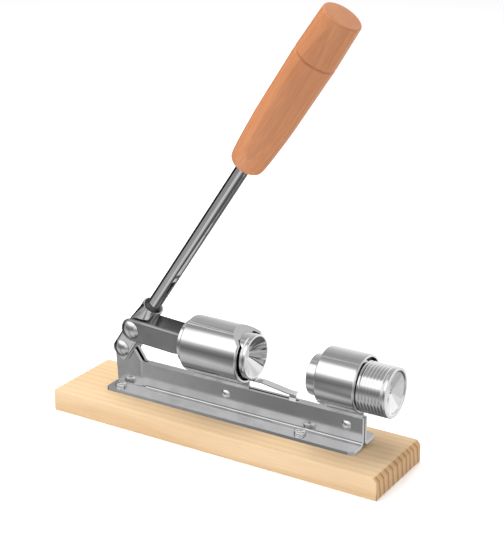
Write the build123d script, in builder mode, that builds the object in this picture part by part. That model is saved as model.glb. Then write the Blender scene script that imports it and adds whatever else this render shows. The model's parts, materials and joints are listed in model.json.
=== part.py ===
from build123d import *
import math
import os

# Lever nutcracker: a pine board carries two steel L-rails back to back.  The rails hold a plunger
# housing and, opposite it, a housing with a coarse anvil screw.  A long lever swings on the rails'
# rear ears and pushes the plunger through a short channel link.
# Millimetres.  +X runs from the lever end to the anvil end, +Z is up, and the origin is the centre
# of the board's underside.

# --- board -------------------------------------------------------------------------------------
BOARD_LENGTH = 260.0
BOARD_WIDTH = 65.0
BOARD_THICKNESS = 16.0
BOARD_EDGE_RADIUS = 1.2
FRONT_BEVEL_RUN = 5.0
FRONT_BEVEL_DROP = 3.0

# --- rails -------------------------------------------------------------------------------------
CENTRE_Y = 4.0                  # the metalwork stands a little behind the board's middle
RAIL_REAR_X = -98.0
RAIL_FRONT_X = 102.0
SHEET = 2.3
KEEL_THICKNESS = 1.6
FLANGE_REACH = 17.0             # from the centre plane to the flange's edge
WEB_TOP_Z = 37.0
BEND_RADIUS = 2.0
FLANGE_CORNER_RADIUS = 3.5
EAR_INNER_Y = 1.4               # the ears are set out from the webs by a joggle
JOGGLE_REAR_X = -76.5
JOGGLE_FRONT_X = -74.5
EAR_FOOT_X = -96.3              # rear edge, where it meets the flange
EAR_ROOT_X = -75.2              # front edge, where it meets the web
EAR_ROOT_RADIUS = 2.5
EAR_FRONT_X = -72.0

# --- lever and link ----------------------------------------------------------------------------
LEAN = math.radians(33.9)       # the lever's lean from upright, towards the anvil
LOWER_PIVOT_X = -89.9
LOWER_PIVOT_Z = 46.2
UPPER_PIVOT_UP = 20.1           # from the lower pivot, along the rod and behind its axis
UPPER_PIVOT_BACK = 0.95
PIVOT_RADIUS = 3.0
PIVOT_CLEARANCE = 0.05
LOWER_HEAD_RADIUS = 6.2
UPPER_HEAD_RADIUS = 6.8
PIVOT_HEAD_HEIGHT = 2.3
HEAD_GAP = 0.2
SPACER_RADIUS = 4.6
CHEEK_OUTER_Y = 7.0
CHEEK_THICKNESS = 1.7
YOKE_REACH = 7.9                # ahead of the rod's axis, and behind it
YOKE_EDGE_RADIUS = 3.0
YOKE_SLOT_Y = 4.1               # half the slot that straddles the ears
YOKE_CROTCH = 9.5
YOKE_BOTTOM = -6.3
YOKE_HEEL_RADIUS = 6.0
YOKE_TOE_RADIUS = 2.0
SOCKET_RADIUS = 7.5
SOCKET_BORE = 5.6
SOCKET_TOP = 42.5
SOCKET_LOW = 26.0
SOCKET_LIP = 0.3
SOCKET_LIP_HEIGHT = 2.0
ROD_RADIUS = 4.9
ROD_BOTTOM = 27.5
LOCK_RING_RADIUS = 6.8
LOCK_RING_HEIGHT = 2.6
GRIP_START = 179.0
GRIP_LENGTH = 124.5
GRIP_SOCKET_DEPTH = 60.0
GRIP_FOOT_RADIUS = 8.5
GRIP_SHOULDER = ((3.5, 11.9), (12.0, 12.8))     # distance up the grip, radius
GRIP_WAIST = (41.0, 14.3)
GRIP_GROOVE_AT = 91.6
GRIP_GROOVE_HALF_WIDTH = 1.2
GRIP_GROOVE_DEPTH = 0.8
GRIP_RADIUS = 14.7
GRIP_TOP_RADIUS = 13.75
GRIP_TOP_CHAMFER = 1.0
LINK_INNER_Y = 8.6
LINK_WALL = 1.7
LINK_DEPTH = 17.2
LINK_NOSE_DEPTH = 14.0
LINK_FLOOR_REAR_X = -58.0
LINK_TAPER_X = -45.0
LINK_NOSE_REACH = 6.5           # past the ram pin
LINK_RISE = 0.3                 # the channel's middle line, above the bore's
LINK_BEND_RADIUS = 2.5

# --- plunger and its housing -------------------------------------------------------------------
BORE_Z = 61.2
HOUSING_RADIUS = 19.9
HOUSING_RIM_RADIUS = 1.2
RAM_HOUSING_REAR_X = -32.0
RAM_HOUSING_FRONT_X = 13.4
MOUTH_RADIUS = 17.4
MOUTH_DEPTH = 3.0
MOUTH_SLOPE_X = 3.4             # where the sloping cut leaves the top of the mouth
MOUTH_SLOPE = math.radians(51)  # the cut's tilt from upright
RAM_RADIUS = 15.7
RAM_CLEARANCE = 0.08
RAM_REAR_X = -36.5
RAM_FRONT_X = 18.5
RAM_HOLLOW_RADIUS = 14.6
RAM_HOLLOW_END_X = 2.0
RAM_CUP_RADIUS = 14.3
RAM_CUP_DEPTH = 8.0
RAM_CUP_FLOOR_RADIUS = 4.0
RAM_REAR_CHAMFER = 0.4
RAM_LIP_CHAMFER = 0.5
RAM_GROOVE_BACK = 3.0           # behind the lip
RAM_GROOVE_HALF_WIDTH = 0.6
RAM_GROOVE_DEPTH = 0.8
RAM_PIN_X = -24.6
RAM_PIN_RADIUS = 2.5
RAM_PIN_SINK = 0.1              # the pin's ends lie below the plunger's skin
LINK_SLOT_X_SHIFT = 0.55        # the slot's centre, from the pin, with the lever at rest
LINK_SLOT_Z_SHIFT = 0.9
LINK_SLOT_LENGTH = 6.6
LINK_SLOT_HEIGHT = 8.2
RAM_KEEL_REAR_X = -72.0
RAM_KEEL_FRONT_X = 13.0
RAM_KEEL_STEP_X = -31.5         # the keel stands above the webs only in front of this
KEEL_BOTTOM_Z = 19.0

# --- anvil -------------------------------------------------------------------------------------
ANVIL_Z = 59.8                  # the screw hangs a little below the middle of its housing
ANVIL_HOUSING_REAR_X = 73.4
ANVIL_HOUSING_FRONT_X = 102.8
ANVIL_MOUTH_RADIUS = 17.9
ANVIL_MOUTH_DEPTH = 2.5
ANVIL_BORE_RADIUS = 17.25
SCREW_RADIUS = 17.1
SCREW_ROOT_RADIUS = 15.8
SCREW_PITCH = 2.4
THREAD_FLANK = 0.35             # shares of the pitch
THREAD_CREST = 0.15
THREAD_RUNOUT = 1.0
SCREW_INNER_X = 79.6
SCREW_FACE_X = 123.7
SCREW_COLLAR = 3.0
SCREW_COLLAR_CHAMFER = 0.3
SCREW_FACE_CHAMFER = 0.6
SCREW_CONE_RADIUS = 13.9
SCREW_CONE_DEPTH = 3.2
CUP_RADIUS = 14.2
CUP_CHAMFER = 0.8
CUP_FRONT_X = 64.5
CUP_REAR_X = 79.4
CUP_BOWL_RADIUS = 12.6
CUP_BOWL_DEPTH = 6.0
SPIGOT_RADIUS = 5.0
SPIGOT_LENGTH = 12.0
SPIGOT_CLEARANCE = 0.05
ANVIL_KEEL_REAR_X = 52.0
ANVIL_KEEL_STEP_X = 74.0
ANVIL_KEEL_FRONT_X = 101.0

# --- fasteners and nut rest --------------------------------------------------------------------
WEB_RIVET_RADIUS = 2.0
WEB_RIVET_HEAD_RADIUS = 3.5
WEB_RIVET_HEAD_HEIGHT = 1.6
REAR_WEB_RIVET = (-4.5, 29.5)
FRONT_WEB_RIVET = (90.0, 30.0)
SCREW_X = {"rear": -89.5, "front": 58.7}
SCREW_Y_OFFSET = 9.6
SCREW_SHANK_RADIUS = 2.1
SCREW_SHANK_LENGTH = 13.0
SCREW_HEAD_RADIUS = 4.3
SCREW_HEAD_HEIGHT = 2.4
SCREW_HEAD_FILLET = 1.68
CROSS_WIDTH = 0.86
CROSS_DEPTH = 1.44
REST_THICKNESS = 0.9
REST_HALF_WIDTH = 3.12
REST_REAR_X = 11.0
REST_KINK_X = 25.0
REST_TOP_Z = 45.0
REST_CLIP_X = 45.0
REST_CLIP_LENGTH = 5.2
REST_CLIP_TOP_Z = 42.0
REST_TAB_BOTTOM_Z = 31.0
REST_TAB_CLEARANCE = 0.03

CENTRE_PLANE = Plane(origin=(0, CENTRE_Y, 0), x_dir=(1, 0, 0), z_dir=(0, -1, 0))
LEVER_X = math.sin(LEAN)
LEVER_Z = math.cos(LEAN)
UPPER_PIVOT_X = LOWER_PIVOT_X + UPPER_PIVOT_UP * LEVER_X - UPPER_PIVOT_BACK * LEVER_Z
UPPER_PIVOT_Z = LOWER_PIVOT_Z + UPPER_PIVOT_UP * LEVER_Z + UPPER_PIVOT_BACK * LEVER_X
# In the lever's own side plane, local X runs up the rod from the lower pivot and local Y backwards.
LEVER_PLANE = Plane(
    origin=(LOWER_PIVOT_X, CENTRE_Y, LOWER_PIVOT_Z), x_dir=(LEVER_X, 0, LEVER_Z), z_dir=(0, -1, 0)
)
LEVER_AXIS = Axis(origin=(LOWER_PIVOT_X, CENTRE_Y, LOWER_PIVOT_Z), direction=(LEVER_X, 0, LEVER_Z))
BORE_AXIS = Axis(origin=(0, CENTRE_Y, BORE_Z), direction=(1, 0, 0))
ANVIL_AXIS = Axis(origin=(0, CENTRE_Y, ANVIL_Z), direction=(1, 0, 0))
FLANGE_TOP_Z = BOARD_THICKNESS + SHEET
WEB_OUTER_Y = KEEL_THICKNESS / 2 + SHEET
EAR_OUTER_Y = EAR_INNER_Y + SHEET
EAR_RADIUS = LOWER_PIVOT_X - RAIL_REAR_X
KEEL_TOP_Z = BORE_Z - HOUSING_RADIUS
HOUSING_CLEAR = HOUSING_RADIUS + 4.0        # a cut this far out passes the housing
CHEEK_INNER_Y = CHEEK_OUTER_Y - CHEEK_THICKNESS
LINK_OUTER_Y = LINK_INNER_Y + LINK_WALL
LINK_MIDDLE_Z = BORE_Z + LINK_RISE
LINK_NOSE_X = RAM_PIN_X + LINK_NOSE_REACH


def crosswise(x, z):
    """Plane square to Y through (x, z) on the centre plane, with local X along +X and local Y up."""
    return Plane(origin=(x, CENTRE_Y, z), x_dir=(1, 0, 0), z_dir=(0, -1, 0))


def along_x(x, z):
    """Plane square to X at x, with its origin at height z on the centre plane."""
    return Plane(origin=(x, CENTRE_Y, z), x_dir=(0, 1, 0), z_dir=(1, 0, 0))


def along_rod(distance):
    """Plane square to the lever rod, this far up it from the lower pivot."""
    return Plane(
        origin=(LOWER_PIVOT_X + distance * LEVER_X, CENTRE_Y, LOWER_PIVOT_Z + distance * LEVER_Z),
        x_dir=(0, 1, 0),
        z_dir=(LEVER_X, 0, LEVER_Z),
    )


def save(builder, name):
    builder.part.label = name
    export_step(builder.part, f"parts/{name}.step")


os.makedirs("parts", exist_ok=True)

# --- base board: one end of its top edge is bevelled ---------------------------------------------
with BuildPart() as base_board:
    with BuildSketch():
        Rectangle(BOARD_LENGTH, BOARD_WIDTH)
    extrude(amount=BOARD_THICKNESS)
    front_edge = base_board.faces().sort_by(Axis.Z)[-1].edges().sort_by(Axis.X)[-1]
    end_face = base_board.faces().sort_by(Axis.X)[-1]
    chamfer(front_edge, length=FRONT_BEVEL_DROP, length2=FRONT_BEVEL_RUN, reference=end_face)
    fillet(base_board.edges().filter_by(Axis.Z), BOARD_EDGE_RADIUS)
    for side in ("rear", "front"):
        for hand in (-1, 1):
            with BuildSketch(Plane.XY.offset(BOARD_THICKNESS)):
                with Locations((SCREW_X[side], CENTRE_Y + hand * SCREW_Y_OFFSET)):
                    Circle(SCREW_SHANK_RADIUS)
            extrude(amount=-SCREW_SHANK_LENGTH, mode=Mode.SUBTRACT)
save(base_board, "base_board")

# --- rails: bent L-section, with an ear set out at the rear and holes for rivets and screws -------
with BuildPart() as straight_rail:
    with BuildSketch(along_x(RAIL_REAR_X, 0)):
        with BuildLine():
            outer_bend = BEND_RADIUS + SHEET
            underside = Line(
                (-FLANGE_REACH, BOARD_THICKNESS), (-KEEL_THICKNESS / 2 - outer_bend, BOARD_THICKNESS)
            )
            heel = TangentArc(
                underside @ 1, (-KEEL_THICKNESS / 2, BOARD_THICKNESS + outer_bend), tangent=(1, 0)
            )
            web = Polyline(
                heel @ 1,
                (-KEEL_THICKNESS / 2, WEB_TOP_Z),
                (-WEB_OUTER_Y, WEB_TOP_Z),
                (-WEB_OUTER_Y, FLANGE_TOP_Z + BEND_RADIUS),
            )
            fold = TangentArc(
                web @ 1, (-WEB_OUTER_Y - BEND_RADIUS, FLANGE_TOP_Z), tangent=(0, -1)
            )
            Polyline(fold @ 1, (-FLANGE_REACH, FLANGE_TOP_Z), underside @ 0)
        make_face()
    extrude(amount=RAIL_FRONT_X - RAIL_REAR_X)
    fillet(
        straight_rail.edges().filter_by(Axis.Z).group_by(Axis.Y)[0],
        FLANGE_CORNER_RADIUS,
    )
    # The web stops short of the joggle; the ear takes over behind it.
    with BuildSketch(Plane.XY.offset(FLANGE_TOP_Z)):
        with Locations((RAIL_REAR_X, CENTRE_Y)):
            Rectangle(
                EAR_FRONT_X - RAIL_REAR_X, EAR_OUTER_Y * 2, align=(Align.MIN, Align.CENTER)
            )
    extrude(amount=WEB_TOP_Z, mode=Mode.SUBTRACT)

with BuildPart() as ear:
    with BuildSketch(Plane.XY.offset(FLANGE_TOP_Z)):
        with BuildLine():
            Polyline(
                (RAIL_REAR_X, CENTRE_Y - EAR_OUTER_Y),
                (JOGGLE_REAR_X, CENTRE_Y - EAR_OUTER_Y),
                (JOGGLE_FRONT_X, CENTRE_Y - WEB_OUTER_Y),
                (EAR_FRONT_X, CENTRE_Y - WEB_OUTER_Y),
                (EAR_FRONT_X, CENTRE_Y - KEEL_THICKNESS / 2),
                (JOGGLE_FRONT_X, CENTRE_Y - KEEL_THICKNESS / 2),
                (JOGGLE_REAR_X, CENTRE_Y - EAR_INNER_Y),
                (RAIL_REAR_X, CENTRE_Y - EAR_INNER_Y),
                close=True,
            )
        make_face()
    extrude(amount=LOWER_PIVOT_Z)
    with BuildSketch(CENTRE_PLANE) as ear_side:
        with BuildLine():
            left = Line((EAR_FOOT_X, FLANGE_TOP_Z), (RAIL_REAR_X, LOWER_PIVOT_Z))
            TangentArc(left @ 1, (LOWER_PIVOT_X + EAR_RADIUS, LOWER_PIVOT_Z), tangent=(0, 1))
            FilletPolyline(
                (LOWER_PIVOT_X + EAR_RADIUS, LOWER_PIVOT_Z),
                (EAR_ROOT_X, WEB_TOP_Z),
                (EAR_FRONT_X, WEB_TOP_Z),
                radius=EAR_ROOT_RADIUS,
            )
            Polyline(
                (EAR_FRONT_X, WEB_TOP_Z), (EAR_FRONT_X, FLANGE_TOP_Z), (EAR_FOOT_X, FLANGE_TOP_Z)
            )
        make_face()
    extrude(amount=EAR_OUTER_Y, both=True, mode=Mode.INTERSECT)

with BuildPart() as near_rail:
    add(straight_rail.part)
    add(ear.part)
    with BuildSketch(CENTRE_PLANE):
        with Locations(REAR_WEB_RIVET, FRONT_WEB_RIVET):
            Circle(WEB_RIVET_RADIUS)
        with Locations((LOWER_PIVOT_X, LOWER_PIVOT_Z)):
            Circle(PIVOT_RADIUS)
    extrude(amount=EAR_OUTER_Y, mode=Mode.SUBTRACT)
    for side in ("rear", "front"):
        with BuildSketch(Plane.XY.offset(BOARD_THICKNESS)):
            with Locations((SCREW_X[side], CENTRE_Y - SCREW_Y_OFFSET)):
                Circle(SCREW_SHANK_RADIUS)
        extrude(amount=SHEET, mode=Mode.SUBTRACT)
save(near_rail, "near_rail")

with BuildPart() as far_rail:
    add(near_rail.part.mirror(CENTRE_PLANE))
save(far_rail, "far_rail")

# --- keels: flat plates clamped between the rails' webs, which carry the two housings -------------
def make_keel(name, rear_x, step_x, front_x, rivet):
    with BuildPart() as keel:
        with BuildSketch(CENTRE_PLANE):
            with Locations((rear_x, KEEL_BOTTOM_Z)):
                Rectangle(
                    front_x - rear_x, WEB_TOP_Z - KEEL_BOTTOM_Z, align=(Align.MIN, Align.MIN)
                )
            with Locations((step_x, KEEL_BOTTOM_Z)):
                Rectangle(
                    front_x - step_x, KEEL_TOP_Z - KEEL_BOTTOM_Z, align=(Align.MIN, Align.MIN)
                )
            with Locations(rivet):
                Circle(WEB_RIVET_RADIUS, mode=Mode.SUBTRACT)
        extrude(amount=KEEL_THICKNESS / 2, both=True)
    save(keel, name)


make_keel("ram_keel", RAM_KEEL_REAR_X, RAM_KEEL_STEP_X, RAM_KEEL_FRONT_X, REAR_WEB_RIVET)
make_keel("anvil_keel", ANVIL_KEEL_REAR_X, ANVIL_KEEL_STEP_X, ANVIL_KEEL_FRONT_X, FRONT_WEB_RIVET)

# --- ram housing: a thick tube whose mouth is cut back on a slope at the top ----------------------
with BuildPart() as ram_housing:
    with BuildSketch(along_x(RAM_HOUSING_REAR_X, BORE_Z)):
        Circle(HOUSING_RADIUS)
        Circle(RAM_RADIUS + RAM_CLEARANCE, mode=Mode.SUBTRACT)
    extrude(amount=RAM_HOUSING_FRONT_X - RAM_HOUSING_REAR_X)
    fillet(
        ram_housing.edges().filter_by(GeomType.CIRCLE).group_by(SortBy.RADIUS)[-1],
        HOUSING_RIM_RADIUS,
    )
    with BuildSketch(along_x(RAM_HOUSING_FRONT_X - MOUTH_DEPTH, BORE_Z)):
        Circle(MOUTH_RADIUS)
    extrude(amount=MOUTH_DEPTH, mode=Mode.SUBTRACT)
    with BuildSketch(CENTRE_PLANE):
        with BuildLine():
            slope_foot_x = MOUTH_SLOPE_X + HOUSING_RADIUS * math.tan(MOUTH_SLOPE)
            slope_head_x = slope_foot_x - HOUSING_CLEAR * math.tan(MOUTH_SLOPE)
            Polyline(
                (slope_foot_x, BORE_Z),
                (slope_foot_x, BORE_Z + HOUSING_CLEAR),
                (slope_head_x, BORE_Z + HOUSING_CLEAR),
                close=True,
            )
        make_face()
    extrude(amount=HOUSING_CLEAR, both=True, mode=Mode.SUBTRACT)
save(ram_housing, "ram_housing")

# --- anvil housing: bored for the screw, with a wider mouth ---------------------------------------
with BuildPart() as anvil_housing:
    with BuildSketch(along_x(ANVIL_HOUSING_REAR_X, BORE_Z)):
        Circle(HOUSING_RADIUS)
    extrude(amount=ANVIL_HOUSING_FRONT_X - ANVIL_HOUSING_REAR_X)
    fillet(anvil_housing.edges().filter_by(GeomType.CIRCLE), HOUSING_RIM_RADIUS)
    with BuildSketch(along_x(ANVIL_HOUSING_REAR_X, ANVIL_Z)):
        Circle(ANVIL_BORE_RADIUS)
    extrude(amount=ANVIL_HOUSING_FRONT_X - ANVIL_HOUSING_REAR_X, mode=Mode.SUBTRACT)
    with BuildSketch(along_x(ANVIL_HOUSING_FRONT_X - ANVIL_MOUTH_DEPTH, BORE_Z)):
        Circle(ANVIL_MOUTH_RADIUS)
    extrude(amount=ANVIL_MOUTH_DEPTH, mode=Mode.SUBTRACT)
save(anvil_housing, "anvil_housing")

# --- ram: cupped plunger, hollow behind for the link's nose ---------------------------------------
with BuildPart() as ram:
    with BuildSketch(crosswise(0, BORE_Z)):
        with BuildLine():
            groove_x = RAM_FRONT_X - RAM_GROOVE_BACK
            Polyline(
                (RAM_REAR_X, RAM_HOLLOW_RADIUS),
                (RAM_REAR_X, RAM_RADIUS - RAM_REAR_CHAMFER),
                (RAM_REAR_X + RAM_REAR_CHAMFER, RAM_RADIUS),
                (groove_x - RAM_GROOVE_HALF_WIDTH, RAM_RADIUS),
                (groove_x, RAM_RADIUS - RAM_GROOVE_DEPTH),
                (groove_x + RAM_GROOVE_HALF_WIDTH, RAM_RADIUS),
                (RAM_FRONT_X - RAM_LIP_CHAMFER, RAM_RADIUS),
                (RAM_FRONT_X, RAM_RADIUS - RAM_LIP_CHAMFER),
                (RAM_FRONT_X, RAM_CUP_RADIUS),
                (RAM_FRONT_X - RAM_CUP_DEPTH, RAM_CUP_FLOOR_RADIUS),
                (RAM_FRONT_X - RAM_CUP_DEPTH, 0),
                (RAM_HOLLOW_END_X, 0),
                (RAM_HOLLOW_END_X, RAM_HOLLOW_RADIUS),
                close=True,
            )
        make_face()
    revolve(axis=BORE_AXIS)
    with BuildSketch(crosswise(RAM_PIN_X, BORE_Z)):
        Circle(RAM_PIN_RADIUS)
    extrude(amount=RAM_RADIUS, both=True, mode=Mode.SUBTRACT)
save(ram, "ram")

with BuildPart() as ram_pin:
    with BuildSketch(crosswise(RAM_PIN_X, BORE_Z)):
        Circle(RAM_PIN_RADIUS)
    extrude(amount=math.sqrt(RAM_RADIUS**2 - RAM_PIN_RADIUS**2) - RAM_PIN_SINK, both=True)
save(ram_pin, "ram_pin")

# --- link: channel, open on top, whose slotted nose rides the ram pin -----------------------------
with BuildPart() as link:
    with BuildSketch(CENTRE_PLANE):
        with Locations((UPPER_PIVOT_X, UPPER_PIVOT_Z)):
            Circle(LINK_DEPTH / 2)
        with BuildLine():
            Polyline(
                (UPPER_PIVOT_X, UPPER_PIVOT_Z - LINK_DEPTH / 2),
                (UPPER_PIVOT_X, UPPER_PIVOT_Z + LINK_DEPTH / 2),
                (LINK_TAPER_X, LINK_MIDDLE_Z + LINK_DEPTH / 2),
                (LINK_NOSE_X, LINK_MIDDLE_Z + LINK_NOSE_DEPTH / 2),
                (LINK_NOSE_X, LINK_MIDDLE_Z - LINK_NOSE_DEPTH / 2),
                (LINK_TAPER_X, LINK_MIDDLE_Z - LINK_DEPTH / 2),
                close=True,
            )
        make_face()
    extrude(amount=LINK_OUTER_Y, both=True)
    lower_edges = link.edges().filter_by(GeomType.LINE).filter_by(Axis.Y, reverse=True)
    fillet(
        lower_edges.filter_by_position(Axis.Z, 0, LINK_MIDDLE_Z - (LINK_NOSE_DEPTH - LINK_WALL) / 2),
        LINK_BEND_RADIUS,
    )
    with BuildSketch(CENTRE_PLANE):
        with BuildLine():
            Polyline(
                (UPPER_PIVOT_X - LINK_DEPTH, UPPER_PIVOT_Z - LINK_DEPTH),
                (UPPER_PIVOT_X - LINK_DEPTH, UPPER_PIVOT_Z + LINK_DEPTH),
                (LINK_NOSE_X, BORE_Z + LINK_DEPTH),
                (LINK_NOSE_X, LINK_MIDDLE_Z - LINK_NOSE_DEPTH / 2 + LINK_WALL),
                (LINK_TAPER_X, LINK_MIDDLE_Z - LINK_DEPTH / 2 + LINK_WALL),
                (LINK_FLOOR_REAR_X, LINK_MIDDLE_Z - LINK_DEPTH / 2 + LINK_WALL),
                (LINK_FLOOR_REAR_X, UPPER_PIVOT_Z - LINK_DEPTH),
                close=True,
            )
        make_face()
    extrude(amount=LINK_INNER_Y, both=True, mode=Mode.SUBTRACT)
    with BuildSketch(CENTRE_PLANE):
        with Locations((UPPER_PIVOT_X, UPPER_PIVOT_Z)):
            Circle(PIVOT_RADIUS + PIVOT_CLEARANCE)
        with Locations((RAM_PIN_X + LINK_SLOT_X_SHIFT, BORE_Z + LINK_SLOT_Z_SHIFT)):
            RectangleRounded(LINK_SLOT_LENGTH, LINK_SLOT_HEIGHT, RAM_PIN_RADIUS)
    extrude(amount=LINK_OUTER_Y, both=True, mode=Mode.SUBTRACT)
save(link, "link")

# --- lever yoke: a squashed tube, slotted to straddle the ears and drawn round at the rod ---------
with BuildPart() as lever_yoke:
    with BuildSketch(LEVER_PLANE):
        with BuildLine():
            toe = RadiusArc(
                (YOKE_BOTTOM + YOKE_TOE_RADIUS, -YOKE_REACH),
                (YOKE_BOTTOM, -YOKE_REACH + YOKE_TOE_RADIUS),
                YOKE_TOE_RADIUS,
            )
            heel = RadiusArc(
                (YOKE_BOTTOM, YOKE_REACH - YOKE_HEEL_RADIUS),
                (YOKE_BOTTOM + YOKE_HEEL_RADIUS, YOKE_REACH),
                YOKE_HEEL_RADIUS,
            )
            Line(toe @ 1, heel @ 0)
            Polyline(heel @ 1, (SOCKET_LOW, YOKE_REACH), (SOCKET_LOW, -YOKE_REACH), toe @ 0)
        make_face()
    extrude(amount=CHEEK_OUTER_Y, both=True)
    with BuildSketch(along_rod(YOKE_BOTTOM)):
        RectangleRounded(2 * CHEEK_OUTER_Y, 2 * YOKE_REACH, YOKE_EDGE_RADIUS)
    extrude(amount=SOCKET_LOW - YOKE_BOTTOM, mode=Mode.INTERSECT)
    with BuildSketch(along_rod(SOCKET_LOW)):
        RectangleRounded(2 * CHEEK_OUTER_Y, 2 * YOKE_REACH, YOKE_EDGE_RADIUS)
    with BuildSketch(along_rod(SOCKET_TOP - SOCKET_LIP_HEIGHT)):
        Circle(SOCKET_RADIUS)
    loft()
    with BuildSketch(along_rod(SOCKET_TOP - SOCKET_LIP_HEIGHT)):
        Circle(SOCKET_RADIUS + SOCKET_LIP)
    extrude(amount=SOCKET_LIP_HEIGHT)
    # Hollow between the cheeks, the slot for the ears, and the bore for the rod.
    with BuildSketch(along_rod(YOKE_BOTTOM)):
        Rectangle(2 * CHEEK_INNER_Y, 2 * (YOKE_REACH - CHEEK_THICKNESS))
    extrude(amount=SOCKET_LOW - YOKE_BOTTOM, mode=Mode.SUBTRACT)
    with BuildSketch(along_rod(YOKE_BOTTOM)):
        Rectangle(2 * YOKE_SLOT_Y, 4 * YOKE_REACH)
    extrude(amount=YOKE_CROTCH - YOKE_BOTTOM, mode=Mode.SUBTRACT)
    with BuildSketch(along_rod(SOCKET_LOW)):
        Circle(SOCKET_BORE)
    extrude(amount=SOCKET_TOP - SOCKET_LOW - SOCKET_LIP_HEIGHT, mode=Mode.SUBTRACT)
    with BuildSketch(along_rod(SOCKET_TOP - SOCKET_LIP_HEIGHT)):
        Circle(ROD_RADIUS)
    extrude(amount=SOCKET_LIP_HEIGHT, mode=Mode.SUBTRACT)
    with BuildSketch(LEVER_PLANE):
        Circle(PIVOT_RADIUS + PIVOT_CLEARANCE)
        with Locations((UPPER_PIVOT_UP, UPPER_PIVOT_BACK)):
            Circle(PIVOT_RADIUS)
    extrude(amount=CHEEK_OUTER_Y, both=True, mode=Mode.SUBTRACT)
save(lever_yoke, "lever_yoke")

# --- lever rod, its lock ring and the turned wooden grip ------------------------------------------
with BuildPart() as lever_rod:
    with BuildSketch(along_rod(ROD_BOTTOM)):
        Circle(ROD_RADIUS)
    extrude(amount=GRIP_START + GRIP_SOCKET_DEPTH - ROD_BOTTOM)
    chamfer(lever_rod.edges().filter_by(GeomType.CIRCLE), ROD_RADIUS / 8)
save(lever_rod, "lever_rod")

with BuildPart() as rod_lock_ring:
    with BuildSketch(along_rod(SOCKET_TOP)):
        Circle(LOCK_RING_RADIUS)
        Circle(ROD_RADIUS, mode=Mode.SUBTRACT)
    extrude(amount=LOCK_RING_HEIGHT)
    fillet(
        rod_lock_ring.edges().filter_by(GeomType.CIRCLE).group_by(SortBy.RADIUS)[-1],
        LOCK_RING_HEIGHT / 4,
    )
save(rod_lock_ring, "rod_lock_ring")

with BuildPart() as grip:
    with BuildSketch(LEVER_PLANE):
        with BuildLine():
            groove_s = GRIP_START + GRIP_GROOVE_AT
            end_s = GRIP_START + GRIP_LENGTH
            shoulder_points = [(GRIP_START + along, radius) for along, radius in GRIP_SHOULDER]
            start = Line((GRIP_START, 0), (GRIP_START, GRIP_FOOT_RADIUS))
            shoulder = Spline(start @ 1, *shoulder_points, tangents=[(0.2, 1), (1, 0.08)])
            body = Spline(
                shoulder @ 1,
                (GRIP_START + GRIP_WAIST[0], GRIP_WAIST[1]),
                (groove_s - GRIP_GROOVE_HALF_WIDTH, GRIP_RADIUS),
                tangents=[(1, 0.08), (1, 0.01)],
            )
            Polyline(
                body @ 1,
                (groove_s, GRIP_RADIUS - GRIP_GROOVE_DEPTH),
                (groove_s + GRIP_GROOVE_HALF_WIDTH, GRIP_RADIUS),
                (end_s - GRIP_TOP_CHAMFER, GRIP_TOP_RADIUS),
                (end_s, GRIP_TOP_RADIUS - GRIP_TOP_CHAMFER),
                (end_s, 0),
                (GRIP_START, 0),
            )
        make_face()
    revolve(axis=LEVER_AXIS)
    with BuildSketch(along_rod(GRIP_START)):
        Circle(ROD_RADIUS)
    extrude(amount=GRIP_SOCKET_DEPTH, mode=Mode.SUBTRACT)
save(grip, "grip")


# --- rivets and spacers ---------------------------------------------------------------------------
def make_rivet(name, plane, shank_radius, head_radius, head_height, half_grip):
    """Rivet across the centre plane with a domed head on each side."""
    dome_radius = (head_radius**2 + head_height**2) / (2 * head_height)
    with BuildPart() as rivet:
        with BuildSketch(plane):
            Circle(shank_radius)
        extrude(amount=half_grip, both=True)
        for hand in (-1, 1):
            head_plane = plane.offset(hand * half_grip)
            with BuildSketch(head_plane):
                Circle(head_radius)
            extrude(amount=hand * head_height)
        ball_shift = half_grip + head_height - dome_radius
        with BuildSketch(Plane(origin=plane.origin, x_dir=(0, 1, 0), z_dir=(0, 0, 1))):
            with BuildLine():
                RadiusArc((ball_shift + dome_radius, 0), (half_grip, head_radius), -dome_radius)
                Polyline(
                    (half_grip, head_radius),
                    (-half_grip, head_radius),
                )
                RadiusArc((-half_grip, head_radius), (-ball_shift - dome_radius, 0), -dome_radius)
                Line((-ball_shift - dome_radius, 0), (ball_shift + dome_radius, 0))
            make_face()
        revolve(axis=Axis(origin=plane.origin, direction=(0, 1, 0)), mode=Mode.INTERSECT)
    save(rivet, name)


for rivet_name, (rivet_x, rivet_z) in {
    "rear_web_rivet": REAR_WEB_RIVET,
    "front_web_rivet": FRONT_WEB_RIVET,
}.items():
    make_rivet(
        rivet_name, crosswise(rivet_x, rivet_z), WEB_RIVET_RADIUS, WEB_RIVET_HEAD_RADIUS,
        WEB_RIVET_HEAD_HEIGHT, WEB_OUTER_Y,
    )
make_rivet(
    "lower_pivot_rivet", crosswise(LOWER_PIVOT_X, LOWER_PIVOT_Z), PIVOT_RADIUS, LOWER_HEAD_RADIUS,
    PIVOT_HEAD_HEIGHT, CHEEK_OUTER_Y + HEAD_GAP,
)
make_rivet(
    "upper_pivot_rivet", crosswise(UPPER_PIVOT_X, UPPER_PIVOT_Z), PIVOT_RADIUS, UPPER_HEAD_RADIUS,
    PIVOT_HEAD_HEIGHT, LINK_OUTER_Y + HEAD_GAP,
)

for spacer_name, plane, half_length in (
    ("ear_spacer", crosswise(LOWER_PIVOT_X, LOWER_PIVOT_Z), EAR_INNER_Y),
    ("yoke_spacer", crosswise(UPPER_PIVOT_X, UPPER_PIVOT_Z), CHEEK_INNER_Y),
):
    with BuildPart() as spacer:
        with BuildSketch(plane):
            Circle(SPACER_RADIUS)
            Circle(PIVOT_RADIUS, mode=Mode.SUBTRACT)
        extrude(amount=half_length, both=True)
    save(spacer, spacer_name)

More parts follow.
